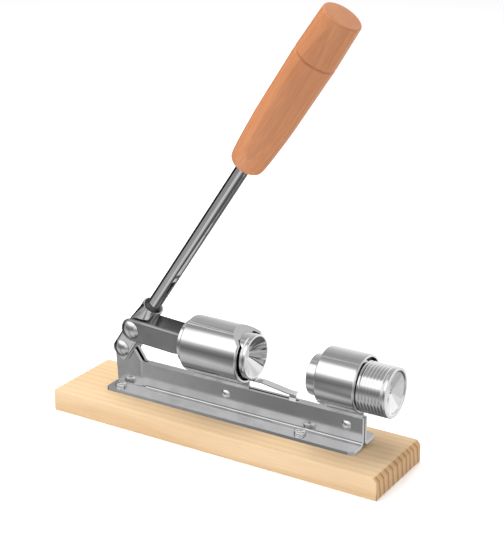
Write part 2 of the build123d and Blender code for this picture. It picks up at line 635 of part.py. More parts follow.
# --- base screws: pan heads with a cross recess ---------------------------------------------------
for side, screw_x in SCREW_X.items():
    for place, hand in (("near", -1), ("far", 1)):
        with BuildPart() as base_screw:
            head_plane = Plane(
                origin=(screw_x, CENTRE_Y + hand * SCREW_Y_OFFSET, FLANGE_TOP_Z), z_dir=(0, 0, 1)
            )
            with BuildSketch(head_plane):
                Circle(SCREW_HEAD_RADIUS)
            extrude(amount=SCREW_HEAD_HEIGHT)
            fillet(
                base_screw.edges().filter_by(GeomType.CIRCLE).sort_by(Axis.Z)[-1],
                SCREW_HEAD_FILLET,
            )
            with BuildSketch(head_plane.offset(SCREW_HEAD_HEIGHT)):
                Rectangle(SCREW_HEAD_RADIUS, CROSS_WIDTH, rotation=45)
                Rectangle(SCREW_HEAD_RADIUS, CROSS_WIDTH, rotation=-45)
            extrude(amount=-CROSS_DEPTH, mode=Mode.SUBTRACT)
            with BuildSketch(head_plane):
                Circle(SCREW_SHANK_RADIUS)
            extrude(amount=-(SHEET + SCREW_SHANK_LENGTH))
        save(base_screw, f"{side}_{place}_base_screw")

# --- anvil screw: ridged barrel with a plain collar and a coned outer face -------------------------
with BuildPart() as anvil_screw:
    with BuildSketch(crosswise(0, ANVIL_Z)):
        with BuildLine():
            thread_end_x = SCREW_FACE_X - SCREW_COLLAR - THREAD_RUNOUT
            ridge_count = int((thread_end_x - SCREW_INNER_X) / SCREW_PITCH)
            barrel = [(SCREW_INNER_X, 0), (SCREW_INNER_X, SCREW_ROOT_RADIUS)]
            for ridge in range(ridge_count, 0, -1):
                crest_x = thread_end_x - (ridge - 0.5) * SCREW_PITCH
                barrel += [
                    (crest_x - THREAD_FLANK * SCREW_PITCH, SCREW_ROOT_RADIUS),
                    (crest_x, SCREW_RADIUS),
                    (crest_x + THREAD_CREST * SCREW_PITCH, SCREW_RADIUS),
                ]
            barrel += [
                (thread_end_x, SCREW_ROOT_RADIUS),
                (thread_end_x + THREAD_RUNOUT, SCREW_RADIUS - SCREW_COLLAR_CHAMFER),
                (SCREW_FACE_X - SCREW_FACE_CHAMFER, SCREW_RADIUS),
                (SCREW_FACE_X, SCREW_RADIUS - SCREW_FACE_CHAMFER),
                (SCREW_FACE_X, SCREW_CONE_RADIUS),
                (SCREW_FACE_X - SCREW_CONE_DEPTH, 0),
            ]
            Polyline(*barrel, close=True)
        make_face()
    revolve(axis=ANVIL_AXIS)
    with BuildSketch(along_x(SCREW_INNER_X, ANVIL_Z)):
        Circle(SPIGOT_RADIUS + SPIGOT_CLEARANCE)
    extrude(amount=SPIGOT_LENGTH + HEAD_GAP, mode=Mode.SUBTRACT)
save(anvil_screw, "anvil_screw")

# --- anvil cup: swivels on a spigot in the screw's inner end ---------------------------------------
with BuildPart() as anvil_cup:
    with BuildSketch(crosswise(0, ANVIL_Z)):
        with BuildLine():
            Polyline(
                (CUP_FRONT_X, CUP_BOWL_RADIUS),
                (CUP_FRONT_X, CUP_RADIUS - CUP_CHAMFER),
                (CUP_FRONT_X + CUP_CHAMFER, CUP_RADIUS),
                (CUP_REAR_X, CUP_RADIUS),
                (CUP_REAR_X, SPIGOT_RADIUS),
                (CUP_REAR_X + SPIGOT_LENGTH, SPIGOT_RADIUS),
                (CUP_REAR_X + SPIGOT_LENGTH, 0),
                (CUP_FRONT_X + CUP_BOWL_DEPTH, 0),
                (CUP_FRONT_X + CUP_BOWL_DEPTH, CUP_BOWL_RADIUS / 3),
                close=True,
            )
        make_face()
    revolve(axis=ANVIL_AXIS)
save(anvil_cup, "anvil_cup")

# --- nut rest: sloping strip whose tab drops between the webs and whose tail lies in the mouth ----
with BuildPart() as nut_rest:
    with BuildSketch(CENTRE_PLANE):
        with BuildLine():
            Polyline(
                (REST_REAR_X, REST_TOP_Z - REST_THICKNESS),
                (REST_REAR_X, REST_TOP_Z),
                (REST_KINK_X, REST_TOP_Z),
                (REST_CLIP_X, REST_CLIP_TOP_Z),
                (REST_CLIP_X + REST_CLIP_LENGTH, REST_CLIP_TOP_Z),
                (REST_CLIP_X + REST_CLIP_LENGTH, REST_CLIP_TOP_Z - REST_THICKNESS),
                (REST_CLIP_X, REST_CLIP_TOP_Z - REST_THICKNESS),
                (REST_KINK_X, REST_TOP_Z - REST_THICKNESS),
                close=True,
            )
        make_face()
    extrude(amount=REST_HALF_WIDTH, both=True)
    with BuildSketch(CENTRE_PLANE):
        with Locations((REST_CLIP_X, REST_CLIP_TOP_Z - REST_THICKNESS)):
            Rectangle(
                REST_CLIP_LENGTH,
                REST_CLIP_TOP_Z - REST_THICKNESS - REST_TAB_BOTTOM_Z,
                align=(Align.MIN, Align.MAX),
            )
    extrude(amount=KEEL_THICKNESS / 2 - REST_TAB_CLEARANCE, both=True)
save(nut_rest, "nut_rest")
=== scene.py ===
"""Bench nutcracker: its finished pieces, their materials and the stage."""

import json
import math
from contextlib import contextmanager

import bpy
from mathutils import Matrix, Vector


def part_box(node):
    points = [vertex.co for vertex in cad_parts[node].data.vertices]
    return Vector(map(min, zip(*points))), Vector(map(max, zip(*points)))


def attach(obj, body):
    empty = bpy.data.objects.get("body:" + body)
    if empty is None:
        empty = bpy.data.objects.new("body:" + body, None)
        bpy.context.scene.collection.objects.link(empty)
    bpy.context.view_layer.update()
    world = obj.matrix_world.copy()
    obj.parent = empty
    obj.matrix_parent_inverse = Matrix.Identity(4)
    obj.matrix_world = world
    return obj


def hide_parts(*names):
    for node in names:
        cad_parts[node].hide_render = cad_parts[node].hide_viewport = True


bl_info = {
    "name": "Bench Nutcracker",
    "version": (1, 0, 0),
    "blender": (4, 5, 0),
    "location": "View3D > Sidebar > Nutcracker",
    "description": "Builds the visible pieces of a lever nutcracker and a plain studio for it",
    "category": "Object",
}

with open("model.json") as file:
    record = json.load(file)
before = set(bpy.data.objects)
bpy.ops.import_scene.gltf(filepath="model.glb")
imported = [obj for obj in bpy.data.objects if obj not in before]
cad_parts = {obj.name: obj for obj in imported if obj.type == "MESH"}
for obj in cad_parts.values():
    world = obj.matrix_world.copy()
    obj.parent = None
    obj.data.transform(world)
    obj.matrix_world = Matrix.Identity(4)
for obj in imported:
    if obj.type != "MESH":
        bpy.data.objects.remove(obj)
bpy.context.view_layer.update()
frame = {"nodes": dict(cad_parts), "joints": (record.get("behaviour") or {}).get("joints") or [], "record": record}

MM = 0.001
ROUND = 96                 # facets round a turned piece
FINE_ROUND = 48            # facets round a small one
ARC_STEPS = 4              # pieces in a rounded corner
TEMPLATE_STEPS = 5         # pieces between two points of a smooth profile
JOINTS = {joint["name"]: joint for joint in frame["joints"]}
LOWER_PIVOT = Vector(JOINTS["lever_swing"]["pos_m"])
LEVER_LEAN = math.radians(33.9)        # from upright, towards the anvil
ROD_AXIS = Vector((math.sin(LEVER_LEAN), 0, math.cos(LEVER_LEAN)))
ALONG = Vector((1, 0, 0))
ACROSS = Vector((0, 1, 0))
UPWARD = Vector((0, 0, 1))
MOUTH_SLOPE = math.radians(51)          # tilt of the cut across the ram housing's mouth
MOUTH_SLOPE_X = 3.4 * MM                # where that cut leaves the top of the tube
BEVEL_DROP = 3 * MM                     # how far the board's bevel comes down its end
SCREW_HEAD = 2.4 * MM                   # height of a board screw's head
GROOVE_HALF = 1.0 * MM                  # half the width of the ring cut round the grip
PLATING_RELIEF = 0.00002
CAMERA_AIM = Vector((0.01754, 0.0, 0.12512))
LIGHT_AIM = Vector((0, 0, 0.1))
BODY_OF = {
    node: body for body, nodes in frame["record"]["behaviour"]["bodies"].items() for node in nodes
}


def span(node, origin, axis):
    """How far a node reaches along an axis, low and high, and how far out from that axis."""
    offsets = [v.co - origin for v in frame["nodes"][node].data.vertices]
    heights = [offset.dot(axis) for offset in offsets]
    radius = max((offset - axis * h).length for offset, h in zip(offsets, heights))
    return min(heights), max(heights), radius


def middle(node):
    low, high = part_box(node)
    return (low + high) / 2


# --- settings ---------------------------------------------------------------------------------


class BoardSettings(bpy.types.PropertyGroup):
    edge_radius: bpy.props.FloatProperty(
        name="Edge radius", description="Rounding of the board's edges", default=0.9 * MM,
        min=0.0, unit="LENGTH",
    )
    ring_spacing: bpy.props.FloatProperty(
        name="Ring spacing", description="Distance between growth rings", default=6.2 * MM,
        min=0.001, unit="LENGTH",
    )
    early_wood: bpy.props.FloatVectorProperty(
        name="Early wood", description="Colour between the rings", subtype="COLOR",
        default=(0.86, 0.63, 0.39), min=0.0, max=1.0,
    )
    late_wood: bpy.props.FloatVectorProperty(
        name="Late wood", description="Colour of the rings", subtype="COLOR",
        default=(0.70, 0.45, 0.22), min=0.0, max=1.0,
    )


class GripSettings(bpy.types.PropertyGroup):
    groove_depth: bpy.props.FloatProperty(
        name="Groove depth", description="Depth of the ring cut round the grip", default=1.1 * MM,
        min=0.0, unit="LENGTH",
    )
    wood: bpy.props.FloatVectorProperty(
        name="Wood", description="Colour of the lacquered wood", subtype="COLOR",
        default=(0.64, 0.27, 0.118), min=0.0, max=1.0,
    )
    dark_wood: bpy.props.FloatVectorProperty(
        name="Dark grain", description="Colour of the grain lines", subtype="COLOR",
        default=(0.44, 0.165, 0.065), min=0.0, max=1.0,
    )


class MetalSettings(bpy.types.PropertyGroup):
    edge_radius: bpy.props.FloatProperty(
        name="Edge radius", description="Rounding of sheet edges", default=0.3 * MM,
        min=0.0, unit="LENGTH",
    )
    rim_radius: bpy.props.FloatProperty(
        name="Rim radius", description="Rounding of the housings' rims", default=1.2 * MM,
        min=0.0, unit="LENGTH",
    )
    thread_pitch: bpy.props.FloatProperty(
        name="Thread pitch", description="Pitch of the anvil screw", default=2.4 * MM,
        min=0.001, unit="LENGTH",
    )
    thread_depth: bpy.props.FloatProperty(
        name="Thread depth", description="Depth of the anvil screw's thread", default=1.25 * MM,
        min=0.0, unit="LENGTH",
    )


class StudioSettings(bpy.types.PropertyGroup):
    azimuth: bpy.props.FloatProperty(
        name="Azimuth", description="Camera's turn from the front towards the anvil",
        default=math.radians(31.56), subtype="ANGLE",
    )
    elevation: bpy.props.FloatProperty(
        name="Elevation", description="Camera's height above the horizon",
        default=math.radians(19.83), subtype="ANGLE",
    )
    distance: bpy.props.FloatProperty(
        name="Distance", description="Camera's distance from its aim", default=0.9458,
        unit="LENGTH",
    )
    lens: bpy.props.FloatProperty(
        name="Lens", description="Focal length in millimetres", default=95.35,
    )


# --- modelling helpers ------------------------------------------------------------------------


def only(*pieces):
    """Selects these and nothing else, the last one active."""
    bpy.ops.object.select_all(action="DESELECT")
    for piece in pieces:
        piece.select_set(True)
        bpy.context.view_layer.objects.active = piece


@contextmanager
def editing(piece):
    """Edit mode on one piece, with everything in it selected."""
    only(piece)
    bpy.ops.object.mode_set(mode="EDIT")
    bpy.ops.mesh.select_all(action="SELECT")
    yield
    bpy.ops.object.mode_set(mode="OBJECT")


def settle(piece, name):
    """Names a new primitive and puts its place into its mesh."""
    piece.name = name
    piece.data.name = name
    only(piece)
    bpy.ops.object.transform_apply(location=True, rotation=True, scale=True)
    return piece


def apply_modifier(piece, kind, **values):
    modifier = piece.modifiers.new("finish", kind)
    for key, value in values.items():
        setattr(modifier, key, value)
    only(piece)
    bpy.ops.object.modifier_apply(modifier=modifier.name)


def round_edges(piece, width, segments=2, angle=35):
    apply_modifier(
        piece, "BEVEL", width=width, segments=segments, limit_method="ANGLE",
        angle_limit=math.radians(angle), harden_normals=False, profile=0.5,
    )


def smooth(piece, angle=32):
    only(piece)
    bpy.ops.object.shade_smooth_by_angle(angle=math.radians(angle), keep_sharp_edges=True)
    apply_modifier(piece, "WEIGHTED_NORMAL", keep_sharp=True, weight=60)


def turn(name, origin, axis, profile, tube=False, facets=ROUND):
    """A disc drawn along its axis, ring by ring.  profile holds (distance, radius)."""
    distance, radius = profile[0]
    bpy.ops.mesh.primitive_circle_add(
        vertices=facets, radius=radius, fill_type="NOTHING" if tube else "NGON",
        location=origin + axis * distance, rotation=axis.to_track_quat("Z", "Y").to_euler(),
    )
    piece = settle(bpy.context.object, name)
    with editing(piece):
        for next_distance, next_radius in profile[1:]:
            bpy.ops.mesh.extrude_region_move(
                TRANSFORM_OT_translate={"value": axis * (next_distance - distance)}
            )
            ratio = next_radius / radius
            bpy.ops.transform.resize(
                value=(ratio, ratio, ratio), center_override=origin + axis * next_distance
            )
            distance, radius = next_distance, next_radius
        bpy.ops.mesh.select_all(action="SELECT")
        bpy.ops.mesh.remove_doubles(threshold=0.001 * MM)
        bpy.ops.mesh.normals_make_consistent(inside=False)
    return piece


def rounded(*points):
    """A profile with rounded corners.  A point holds distance, radius and its corner's size."""
    profile = []
    for index, (distance, radius, size) in enumerate(points):
        corner = Vector((distance, radius))
        if not size:
            profile.append(tuple(corner))
            continue
        before = Vector(points[index - 1][:2])
        after = Vector(points[index + 1][:2])
        first = corner + (before - corner).normalized() * size
        last = corner + (after - corner).normalized() * size
        for step in range(ARC_STEPS + 1):
            t = step / ARC_STEPS
            profile.append(tuple(first * (1 - t) ** 2 + corner * 2 * t * (1 - t) + last * t**2))
    return profile


def dome(distance, radius, height, inward=False):
    """Profile of a shallow dome that stands height above a rim of this radius."""
    ball = (radius**2 + height**2) / (2 * abs(height))
    side = math.copysign(1, height)
    profile = []
    for step in range(ARC_STEPS * 2 + 1):
        out = radius * math.cos(math.pi / 2 * step / (ARC_STEPS * 2 + 0.4))
        rise = math.sqrt(ball**2 - out**2) - (ball - abs(height))
        profile.append((distance + side * rise, out))
    return profile[::-1] if inward else profile


def through(points):
    """A smooth line through points, as a turner's template would run."""
    line = []
    for index in range(len(points) - 1):
        near = [Vector(points[min(max(index + k, 0), len(points) - 1)]) for k in (-1, 0, 1, 2)]
        for step in range(TEMPLATE_STEPS):
            t = step / TEMPLATE_STEPS
            place = near[1] * 2 + (near[2] - near[0]) * t
            place += (near[0] * 2 - near[1] * 5 + near[2] * 4 - near[3]) * t**2
            place += (near[1] * 3 - near[0] - near[2] * 3 + near[3]) * t**3
            line.append(tuple(place / 2))
    return [*line, tuple(points[-1])]


def paint_shade_inside(piece, origin, radius, material):
    """Gives the faces of a tube that look inwards a second material; here a dark one, as painted shade in the
    bore.
    """
    piece.data.materials.append(material)
    for face in piece.data.polygons:
        out = face.center - origin
        out.x = 0
        if out.length < radius and face.normal.dot(out) < 0.2 * out.length:
            face.material_index = 1


def join(first, *others):
    only(*others, first)
    bpy.ops.object.join()
    return first


def cut(piece, cutter):
    """Cuts a piece with another, which is then removed."""
    apply_modifier(piece, "BOOLEAN", object=cutter, operation="DIFFERENCE", solver="EXACT")
    bpy.data.objects.remove(cutter)


def block(name, low, high):
    bpy.ops.mesh.primitive_cube_add(size=1, location=(low + high) / 2)
    bpy.context.object.scale = high - low
    return settle(bpy.context.object, name)


def from_frame(node, name):
    """A merged copy of a CAD node, its flat faces whole, ready to have its edges rounded."""
    piece = frame["nodes"][node].copy()
    piece.data = frame["nodes"][node].data.copy()
    for key in list(piece.keys()):
        del piece[key]
    piece.parent = None
    piece.name = name
    piece.data.name = name
    piece.data.materials.clear()
    bpy.context.scene.collection.objects.link(piece)
    only(piece)
    bpy.ops.mesh.customdata_custom_splitnormals_clear()
    with editing(piece):
        bpy.ops.mesh.remove_doubles(threshold=0.002 * MM)
        bpy.ops.mesh.dissolve_limited(angle_limit=math.radians(1.0))
    return piece


def fit(piece, node, material):
    """Puts a finished piece in a CAD node's place."""
    piece.data.materials.clear()
    piece.data.materials.append(material)
    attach(piece, BODY_OF[node])
    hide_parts(node)


def dress(node, material):
    """Gives a CAD node that stays its material."""
    slots = frame["nodes"][node].data.materials
    slots.clear()
    slots.append(material)


# --- shader helpers ---------------------------------------------------------------------------


def node(tree, kind, inputs=None, **settings):
    """Adds a shader node.  inputs maps a socket's name or number to a value or a socket."""
    made = tree.nodes.new(kind)
    for key, value in settings.items():
        setattr(made, key, value)
    for key, value in (inputs or {}).items():
        if isinstance(value, bpy.types.NodeSocket):
            tree.links.new(value, made.inputs[key])
        else:
            made.inputs[key].default_value = value
    return made


def ramp(tree, factor, stops):
    """A colour ramp.  stops holds (position, grey or colour)."""
    made = node(tree, "ShaderNodeValToRGB", {"Fac": factor})
    elements = made.color_ramp.elements
    while len(elements) < len(stops):
        elements.new(0.5)
    for element, (position, colour) in zip(elements, stops):
        element.position = position
        tone = (colour,) * 3 if isinstance(colour, (int, float)) else tuple(colour)
        element.color = (*tone, 1)
    return made.outputs["Color"]


def math_node(tree, operation, first, second=0.0):
    return node(tree, "ShaderNodeMath", {0: first, 1: second}, operation=operation).outputs[0]


def mix(tree, factor, first, second, blend="MIX"):
    made = node(tree, "ShaderNodeMix", data_type="RGBA", blend_type=blend)
    for index, value in ((0, factor), (6, first), (7, second)):
        socket = made.inputs[index]
        if isinstance(value, bpy.types.NodeSocket):
            tree.links.new(value, socket)
        else:
            socket.default_value = value if isinstance(value, (int, float)) else (*value[:3], 1)
    return made.outputs[2]


def new_group(name, inputs, outputs):
    """An empty node group with named sockets, and its input and output nodes."""
    group = bpy.data.node_groups.new(name, "ShaderNodeTree")
    for label, kind, value in inputs:
        socket = group.interface.new_socket(name=label, in_out="INPUT", socket_type=kind)
        if value is not None:
            socket.default_value = value
    for label, kind in outputs:
        group.interface.new_socket(name=label, in_out="OUTPUT", socket_type=kind)
    given = group.nodes.new("NodeGroupInput").outputs
    return group, given, group.nodes.new("NodeGroupOutput").inputs


def plating_wear():
    """Fine scratches, smudges and shallow unevenness of plated metal."""
    if "plating_wear" in bpy.data.node_groups:
        return bpy.data.node_groups["plating_wear"]
    group, given, out = new_group(
        "plating_wear",
        [
            ("Vector", "NodeSocketVector", None),
            ("Roughness", "NodeSocketFloat", 0.1),
            ("Smudge", "NodeSocketFloat", 0.1),
            ("Scratch", "NodeSocketFloat", 0.1),
            ("Unevenness", "NodeSocketFloat", 0.1),
        ],
        [(label, "NodeSocketFloat") for label in ("Roughness", "Height", "Tone")],
    )
    smudge = node(group, "ShaderNodeTexNoise", {
        "Vector": given["Vector"], "Scale": 55.0, "Detail": 5.0})
    smudge_mask = ramp(group, smudge.outputs["Fac"], [(0.42, 0.0), (0.68, 1.0)])
    rougher = math_node(group, "MULTIPLY", smudge_mask, given["Smudge"])
    roughness = math_node(group, "ADD", given["Roughness"], rougher)
    stretched = node(
        group, "ShaderNodeMapping", {"Vector": given["Vector"], "Scale": (160.0, 2400.0, 2400.0)}
    )
    scratches = node(group, "ShaderNodeTexNoise", {
        "Vector": stretched.outputs[0], "Scale": 1.0, "Detail": 2.0})
    scratch_height = math_node(group, "MULTIPLY", scratches.outputs["Fac"], given["Scratch"])
    uneven = node(group, "ShaderNodeTexNoise", {
        "Vector": given["Vector"], "Scale": 26.0, "Detail": 1.0})
    uneven_height = math_node(group, "MULTIPLY", uneven.outputs["Fac"], given["Unevenness"])
    height = math_node(group, "ADD", scratch_height, uneven_height)
    group.links.new(roughness, out["Roughness"])
    group.links.new(height, out["Height"])
    group.links.new(smudge_mask, out["Tone"])
    return group


def timber_grain():
    """Growth rings and long fibres: rings stacked along Y, fibres running along X."""
    if "timber_grain" in bpy.data.node_groups:
        return bpy.data.node_groups["timber_grain"]
    group, given, out = new_group(
        "timber_grain",
        [
            ("Vector", "NodeSocketVector", None),
            ("Ring Spacing", "NodeSocketFloat", 0.006),
            ("Waviness", "NodeSocketFloat", 0.002),
            ("Fibre Scale", "NodeSocketFloat", 900.0),
        ],
        [(label, "NodeSocketFloat") for label in ("Rings", "Fibres", "Clouds")],
    )
    parts = node(group, "ShaderNodeSeparateXYZ", {0: given["Vector"]})
    lazy = node(group, "ShaderNodeMapping", {
        "Vector": given["Vector"], "Scale": (4.0, 26.0, 26.0)})
    drift = node(group, "ShaderNodeTexNoise", {
        "Vector": lazy.outputs[0], "Scale": 1.0, "Detail": 2.0})
    centred = math_node(group, "SUBTRACT", drift.outputs["Fac"], 0.5)
    warp = math_node(group, "MULTIPLY", centred, given["Waviness"])
    lean = math_node(group, "MULTIPLY", parts.outputs[2], 0.16)
    depth = math_node(group, "ADD", math_node(group, "ADD", parts.outputs[1], warp), lean)
    count = math_node(group, "DIVIDE", depth, given["Ring Spacing"])
    rings = math_node(group, "FRACT", count)
    long = node(group, "ShaderNodeMapping", {
        "Vector": given["Vector"], "Scale": (0.035, 1.0, 1.0)})
    fibres = node(
        group, "ShaderNodeTexNoise",
        {"Vector": long.outputs[0], "Scale": given["Fibre Scale"], "Detail": 4.0, "Roughness": 0.6},
    )
    broad = node(group, "ShaderNodeMapping", {
        "Vector": given["Vector"], "Scale": (7.0, 42.0, 42.0)})
    clouds = node(group, "ShaderNodeTexNoise", {
        "Vector": broad.outputs[0], "Scale": 1.0, "Detail": 3.0})
    group.links.new(rings, out["Rings"])
    group.links.new(fibres.outputs["Fac"], out["Fibres"])
    group.links.new(clouds.outputs["Fac"], out["Clouds"])
    return group


def blank_material(name):
    material = bpy.data.materials.new(name)
    material.use_nodes = True
    tree = material.node_tree
    shader = tree.nodes["Principled BSDF"]
    place = node(tree, "ShaderNodeTexCoord").outputs["Object"]
    return material, tree, shader, place


def plated(name, colour, roughness, smudge, scratch, unevenness, dull=None):
    """Plated steel: its tone, how blurred its reflections are, and how worn it is."""
    if name in bpy.data.materials:
        return bpy.data.materials[name]
    material, tree, shader, place = blank_material(name)
    wear = node(tree, "ShaderNodeGroup", node_tree=plating_wear())
    tree.links.new(place, wear.inputs["Vector"])
    for label, value in (
        ("Roughness", roughness), ("Smudge", smudge),
        ("Scratch", scratch), ("Unevenness", unevenness),
    ):
        wear.inputs[label].default_value = value
    tone = mix(tree, wear.outputs["Tone"], colour, dull or [c * 0.93 for c in colour])
    tree.links.new(tone, shader.inputs["Base Color"])
    tree.links.new(wear.outputs["Roughness"], shader.inputs["Roughness"])
    shader.inputs["Metallic"].default_value = 1.0
    relief = node(tree, "ShaderNodeBump", {
        "Height": wear.outputs["Height"], "Distance": PLATING_RELIEF, "Strength": 1.0})
    tree.links.new(relief.outputs[0], shader.inputs["Normal"])
    return material


def chrome():
    return plated(
        "bright_chrome", (0.92, 0.92, 0.925), 0.03, smudge=0.03, scratch=0.03, unevenness=0.25
    )


def polished_steel():
    return plated(
        "turned_steel", (0.86, 0.86, 0.87), 0.07, smudge=0.04, scratch=0.08, unevenness=0.3
    )


def zinc_steel():
    return plated(
        "zinc_sheet", (0.64, 0.64, 0.645), 0.14, smudge=0.06, scratch=0.04, unevenness=0.8,
        dull=(0.57, 0.57, 0.575),
    )


def link_steel():
    return plated(
        "dull_link_steel", (0.43, 0.43, 0.435), 0.34, smudge=0.12, scratch=0.4, unevenness=1.2,
        dull=(0.35, 0.35, 0.355),
    )


# Blackened steel for the lock ring and spacers; the housings also use it as painted shade inside their bores.
def dark_steel_and_bore_shade():
    return plated(
        "blackened_steel_and_bore_shade", (0.10, 0.10, 0.105), 0.28, smudge=0.1, scratch=0.4, unevenness=0.5
    )


def pine():
    """Pale sealed pine: stripes along the board, and darker bands on its sawn ends."""
    if "sealed_pine" in bpy.data.materials:
        return bpy.data.materials["sealed_pine"]
    board = bpy.context.scene.nutcracker_board
    material, tree, shader, place = blank_material("sealed_pine")
    grain = node(tree, "ShaderNodeGroup", node_tree=timber_grain())
    tree.links.new(place, grain.inputs["Vector"])
    grain.inputs["Ring Spacing"].default_value = board.ring_spacing
    grain.inputs["Waviness"].default_value = 0.007
    grain.inputs["Fibre Scale"].default_value = 1300.0
    band = ramp(tree, grain.outputs["Rings"], [
        (0.0, 0.0), (0.45, 0.1), (0.86, 1.0), (0.97, 0.15), (1.0, 0.0)])
    surface = node(tree, "ShaderNodeNewGeometry")
    facing = node(tree, "ShaderNodeSeparateXYZ", {0: surface.outputs["Normal"]})
    sawn = math_node(tree, "ABSOLUTE", facing.outputs[0])
    sawn = ramp(tree, sawn, [(0.35, 0.0), (0.7, 1.0)])
    early, late = tuple(board.early_wood), tuple(board.late_wood)
    faint = mix(tree, math_node(tree, "MULTIPLY", band, 0.42), early, late)
    strong = mix(
        tree, band, [c * k for c, k in zip(early, (0.86, 0.74, 0.60))],
        [c * k for c, k in zip(late, (0.60, 0.46, 0.36))],
    )
    wood = mix(tree, sawn, faint, strong)
    fibre = ramp(tree, grain.outputs["Fibres"], [(0.35, 0.90), (0.62, 1.0)])
    wood = mix(tree, 0.75, wood, fibre, blend="MULTIPLY")
    cloud = ramp(tree, grain.outputs["Clouds"], [
        (0.35, (0.93, 0.90, 0.86)), (0.65, (1.0, 1.0, 1.0))])
    wood = mix(tree, 1.0, wood, cloud, blend="MULTIPLY")
    tree.links.new(wood, shader.inputs["Base Color"])
    shader.inputs["Roughness"].default_value = 0.48
    shader.inputs["Specular IOR Level"].default_value = 0.35
    relief = node(tree, "ShaderNodeBump", {
        "Height": grain.outputs["Fibres"], "Distance": 0.00008, "Strength": 0.6})
    tree.links.new(relief.outputs[0], shader.inputs["Normal"])
    return material


def lacquered_beech():
    """Warm turned hardwood under satin lacquer, its grain along the lever."""
    if "turned_beech" in bpy.data.materials:
        return bpy.data.materials["turned_beech"]
    grip = bpy.context.scene.nutcracker_grip
    material, tree, shader, place = blank_material("turned_beech")
    tilt = -math.atan2(ROD_AXIS.z, ROD_AXIS.x)
    turned = node(
        tree, "ShaderNodeMapping",
        {"Vector": place, "Location": LOWER_PIVOT, "Rotation": (0.0, tilt, 0.0)},
        vector_type="TEXTURE",
    )
    grain = node(tree, "ShaderNodeGroup", node_tree=timber_grain())
    tree.links.new(turned.outputs[0], grain.inputs["Vector"])
    grain.inputs["Ring Spacing"].default_value = 0.0042
    grain.inputs["Waviness"].default_value = 0.010
    grain.inputs["Fibre Scale"].default_value = 1500.0
    band = ramp(tree, grain.outputs["Rings"], [(0.0, 0.1), (0.5, 0.25), (0.9, 1.0), (1.0, 0.1)])
    light, dark = tuple(grip.wood), tuple(grip.dark_wood)
    wood = mix(tree, math_node(tree, "MULTIPLY", band, 0.35), light, dark)
    fibre = ramp(tree, grain.outputs["Fibres"], [
        (0.36, (0.84, 0.78, 0.72)), (0.60, (1.0, 1.0, 1.0))])
    wood = mix(tree, 0.8, wood, fibre, blend="MULTIPLY")
    cloud = ramp(tree, grain.outputs["Clouds"], [
        (0.35, (0.90, 0.86, 0.82)), (0.65, (1.06, 1.05, 1.03))])
    wood = mix(tree, 1.0, wood, cloud, blend="MULTIPLY")
    tree.links.new(wood, shader.inputs["Base Color"])
    shader.inputs["Roughness"].default_value = 0.42
    shader.inputs["Coat Weight"].default_value = 0.35
    shader.inputs["Coat Roughness"].default_value = 0.28
    relief = node(tree, "ShaderNodeBump", {
        "Height": grain.outputs["Fibres"], "Distance": 0.00006, "Strength": 0.5})
    tree.links.new(relief.outputs[0], shader.inputs["Normal"])
    return material


# --- pieces -----------------------------------------------------------------------------------


class PieceOperator:
    bl_options = {"REGISTER", "UNDO"}


class NUTCRACKER_OT_board(PieceOperator, bpy.types.Operator):
    """Pine board with one end of its top edge bevelled"""

    bl_idname = "nutcracker.board"
    bl_label = "Board"

    def execute(self, context):
        low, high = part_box("base_board")
        piece = block("pine_board", low, high)
        with editing(piece):
            bpy.ops.mesh.bisect(
                plane_co=(high.x, 0, high.z - BEVEL_DROP), plane_no=(3, 0, 5), use_fill=True,
                clear_outer=True,
            )
        round_edges(piece, context.scene.nutcracker_board.edge_radius, segments=3, angle=20)
        smooth(piece)
        piece.visible_glossy = False
        fit(piece, "base_board", pine())
        return {"FINISHED"}


class NUTCRACKER_OT_rails(PieceOperator, bpy.types.Operator):
    """The two bent steel rails that stand back to back on the board"""

    bl_idname = "nutcracker.rails"
    bl_label = "Rails"

    def execute(self, context):
        for side in ("near_rail", "far_rail"):
            piece = from_frame(side, f"{side}_sheet")
            round_edges(piece, context.scene.nutcracker_metal.edge_radius)
            smooth(piece)
            fit(piece, side, zinc_steel())
        return {"FINISHED"}


class NUTCRACKER_OT_housings(PieceOperator, bpy.types.Operator):
    """Thick tubes for the ram and the anvil screw, bright outside, with painted shade (a black material) in their
    bores
    """

    bl_idname = "nutcracker.housings"
    bl_label = "Housings"

    def execute(self, context):
        rim = context.scene.nutcracker_metal.rim_radius
        for side, inside, gap, mouth, depth in (
            ("ram_housing", "ram", 0.08 * MM, 17.4 * MM, 3.0 * MM),
            ("anvil_housing", "anvil_screw", 0.15 * MM, 17.9 * MM, 2.5 * MM),
        ):
            low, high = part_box(side)
            origin = Vector((0, *middle(side).yz))
            radius = (high.z - low.z) / 2
            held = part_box(inside)
            bore = (held[1].y - held[0].y) / 2 + gap
            bore_origin = Vector((0, *middle(inside).yz))
            piece = turn(
                f"{side}_tube", origin, ALONG,
                rounded(
                    (low.x, radius - 3 * rim, 0), (low.x, radius, rim), (high.x, radius, rim),
                    (high.x, mouth, 0.3 * MM), (high.x - depth, mouth, 0),
                    (high.x - depth, radius - 3 * rim, 0),
                ),
            )
            cutter = turn(
                "bore", bore_origin, ALONG, [(low.x - 5 * MM, bore), (high.x + 5 * MM, bore)]
            )
            cut(piece, cutter)
            if side == "ram_housing":
                with editing(piece):
                    bpy.ops.mesh.bisect(
                        plane_co=(MOUTH_SLOPE_X, 0, high.z),
                        plane_no=(math.cos(MOUTH_SLOPE), 0, math.sin(MOUTH_SLOPE)),
                        use_fill=True, clear_outer=True,
                    )
            smooth(piece, 25)
            fit(piece, side, polished_steel())
            # painted shade: the bore's inward faces get the dark material
            paint_shade_inside(piece, origin, mouth + 0.2 * MM, dark_steel_and_bore_shade())
        return {"FINISHED"}


